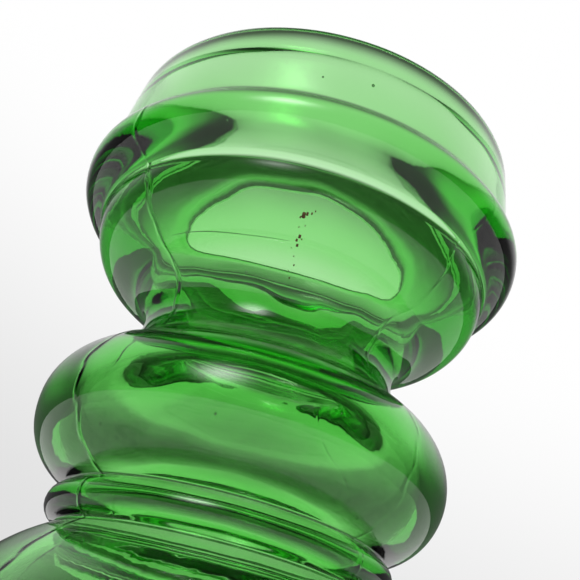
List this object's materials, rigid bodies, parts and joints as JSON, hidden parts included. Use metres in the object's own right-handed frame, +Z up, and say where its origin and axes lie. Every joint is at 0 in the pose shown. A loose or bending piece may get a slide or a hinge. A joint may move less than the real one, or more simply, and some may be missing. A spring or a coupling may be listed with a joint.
{
  "type": "glass candlestick",
  "caption": "Hollow blown green glass candlestick: a mouth that takes a pillar candle, a fat ring, a bowl, a narrow neck, a round knop, a thin merese and a domed foot.",
  "frame": {"origin": "centre of the resting ring, on the surface that the candlestick stands on", "axes": "+Z up along the axis of revolution; +X and +Y level, with the two mould seams close to -X and +X"},
  "size_m": [0.0874, 0.0874, 0.126],
  "materials": {
    "green_glass": "gloss"
  },
  "bodies": {
    "root": {"rim_collar": "green_glass", "collar_ring": "green_glass", "cup_bowl": "green_glass", "neck": "green_glass", "knop": "green_glass", "merese": "green_glass", "foot_dome": "green_glass", "foot_base": "green_glass"}
  },
  "joints": []
}
